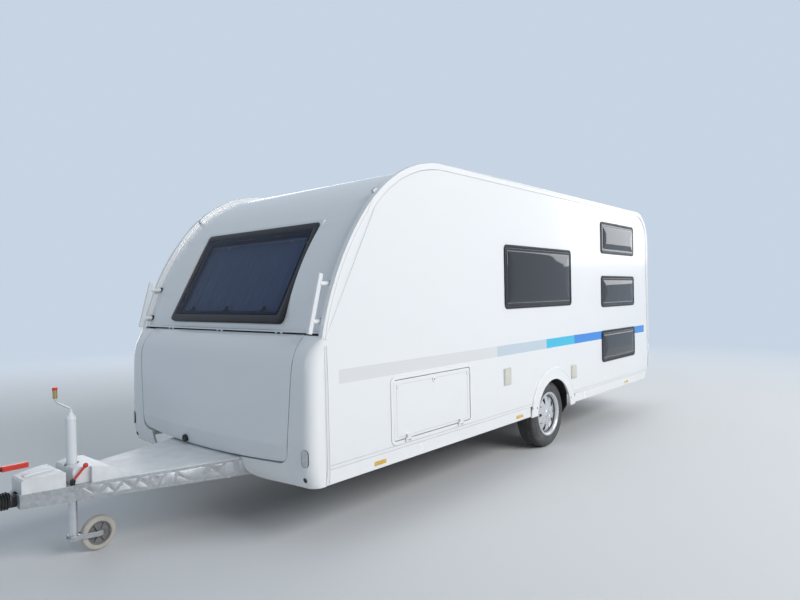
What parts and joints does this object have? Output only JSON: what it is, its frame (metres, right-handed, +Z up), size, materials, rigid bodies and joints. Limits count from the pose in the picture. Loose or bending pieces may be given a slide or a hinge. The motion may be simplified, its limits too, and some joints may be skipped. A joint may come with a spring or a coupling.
{
  "type": "travel caravan",
  "caption": "Single-axle touring caravan on its jockey wheel: white sandwich-panel body, curved front with locker lid, side windows, A-frame drawbar.",
  "frame": {"origin": "on the ground below the middle of the overall length and width", "axes": "+X forward to the coupling, +Y the caravan's left side, +Z up"},
  "size_m": [7.64, 2.332, 2.578],
  "materials": {
    "white_panel": "smooth white painted sandwich panel, glossy",
    "white_trim": "white moulded plastic, glossy",
    "white_lid": "white moulded lid, high gloss",
    "floor_board": "dark coated plywood underside",
    "galvanised": "hot-dip galvanised steel with spangle",
    "axle_metal": "galvanised axle tube, dull",
    "tyre_rubber": "black tread rubber",
    "rim_silver": "silver painted rim",
    "drum_metal": "black painted brake drum",
    "black_plastic": "black moulded plastic, matt",
    "frame_black": "black window frame, satin",
    "tinted_pane": "dark tinted double pane, mirror gloss",
    "roof_dome": "milky acrylic dome",
    "blind_cloth": "pale pleated blind cloth",
    "lamp_lens": "moulded lamp lenses",
    "handle_white": "white grab handle",
    "cover_beige": "pale beige moulded covers",
    "coupling_black": "black painted coupling",
    "gaiter_rubber": "black ribbed rubber",
    "lever_red": "red plastic grips",
    "cover_white": "white textured drawbar cover",
    "jack_zinc": "bright zinc plated tube",
    "caster_rubber": "pale grey solid rubber tyre on a rim"
  },
  "bodies": {
    "caravan": {"drawbar_beams": "galvanised", "chassis_rails": "galvanised", "axle": "axle_metal", "floor": "floor_board", "wheel_boxes": "black_plastic", "wall_left": "white_panel", "wall_right": "white_panel", "edge_trims": "white_trim", "roof": "white_panel", "rooflights": "roof_dome", "front_wall": "white_panel", "rear_wall": "white_panel", "gas_locker": "white_trim", "front_corners": "white_trim", "side_skirts": "white_trim", "wheel_spats": "white_trim", "window_frames": "frame_black", "window_panes": "tinted_pane", "blinds": "blind_cloth", "opening_frames": "white_trim", "rear_bumper": "white_trim", "lamps": "lamp_lens", "grab_handles": "handle_white", "wall_covers": "cover_beige", "coupling_head": "coupling_black", "gaiter": "gaiter_rubber", "hand_levers": "lever_red", "drawbar_cover": "cover_white", "jack_tube": "jack_zinc", "jack_clamp": "galvanised"},
    "wheel_left": {"tyre_left": "tyre_rubber", "rim_left": "rim_silver", "drum_left": "drum_metal"},
    "wheel_right": {"tyre_right": "tyre_rubber", "rim_right": "rim_silver", "drum_right": "drum_metal"},
    "front_lid": {"locker_lid": "white_lid"},
    "service_hatch": {"hatch_door": "white_panel"},
    "cassette_hatch": {"cassette_door": "white_panel"},
    "door": {"entrance_door": "white_panel", "door_window": "tinted_pane"},
    "jack_leg_body": {"jack_leg": "jack_zinc"},
    "fork": {"jockey_fork": "galvanised"},
    "caster": {"jockey_wheel": "caster_rubber"},
    "steady_front_left_leg": {"steady_front_left": "galvanised"},
    "steady_front_right_leg": {"steady_front_right": "galvanised"},
    "steady_rear_left_leg": {"steady_rear_left": "galvanised"},
    "steady_rear_right_leg": {"steady_rear_right": "galvanised"}
  },
  "joints": [
    {"name": "wheel_left_spin", "type": "hinge", "parent": "caravan", "child": "wheel_left", "pos_m": [-1.02, 0.9875, 0.334], "axis": [0, 1, 0], "continuous": true},
    {"name": "wheel_right_spin", "type": "hinge", "parent": "caravan", "child": "wheel_right", "pos_m": [-1.02, -0.9875, 0.334], "axis": [0, 1, 0], "continuous": true},
    {"name": "front_lid_hinge", "type": "hinge", "parent": "caravan", "child": "front_lid", "pos_m": [2.058, 0, 1.331], "axis": [0, -1, 0], "range_deg": [0, 75]},
    {"name": "service_hatch_hinge", "type": "hinge", "parent": "caravan", "child": "service_hatch", "pos_m": [0.9455, 1.159, 0.537], "axis": [-1, 0, 0], "range_deg": [0, 100]},
    {"name": "cassette_hatch_hinge", "type": "hinge", "parent": "caravan", "child": "cassette_hatch", "pos_m": [-3.25, -1.159, 0.602], "axis": [1, 0, 0], "range_deg": [0, 100]},
    {"name": "door_hinge", "type": "hinge", "parent": "caravan", "child": "door", "pos_m": [0.222, -1.159, 1.4], "axis": [0, 0, 1], "range_deg": [0, 165]},
    {"name": "jack_slide", "type": "slide", "parent": "caravan", "child": "jack_leg_body", "axis": [0, 0, 1], "range_m": [0, 0.24]},
    {"name": "fork_swivel", "type": "hinge", "parent": "jack_leg_body", "child": "fork", "pos_m": [3.112, 0, 0.14], "axis": [0, 0, 1], "continuous": true},
    {"name": "caster_spin", "type": "hinge", "parent": "fork", "child": "caster", "pos_m": [2.965, 0, 0.1075], "axis": [0, 1, 0], "continuous": true},
    {"name": "steady_front_left_swing", "type": "hinge", "parent": "caravan", "child": "steady_front_left_leg", "pos_m": [1.31, 0.8, 0.438], "axis": [0, 1, 0], "range_deg": [0, 67]},
    {"name": "steady_front_right_swing", "type": "hinge", "parent": "caravan", "child": "steady_front_right_leg", "pos_m": [1.31, -0.8, 0.438], "axis": [0, 1, 0], "range_deg": [0, 67]},
    {"name": "steady_rear_left_swing", "type": "hinge", "parent": "caravan", "child": "steady_rear_left_leg", "pos_m": [-3.08, 0.8, 0.438], "axis": [0, -1, 0], "range_deg": [0, 67]},
    {"name": "steady_rear_right_swing", "type": "hinge", "parent": "caravan", "child": "steady_rear_right_leg", "pos_m": [-3.08, -0.8, 0.438], "axis": [0, -1, 0], "range_deg": [0, 67]}
  ]
}
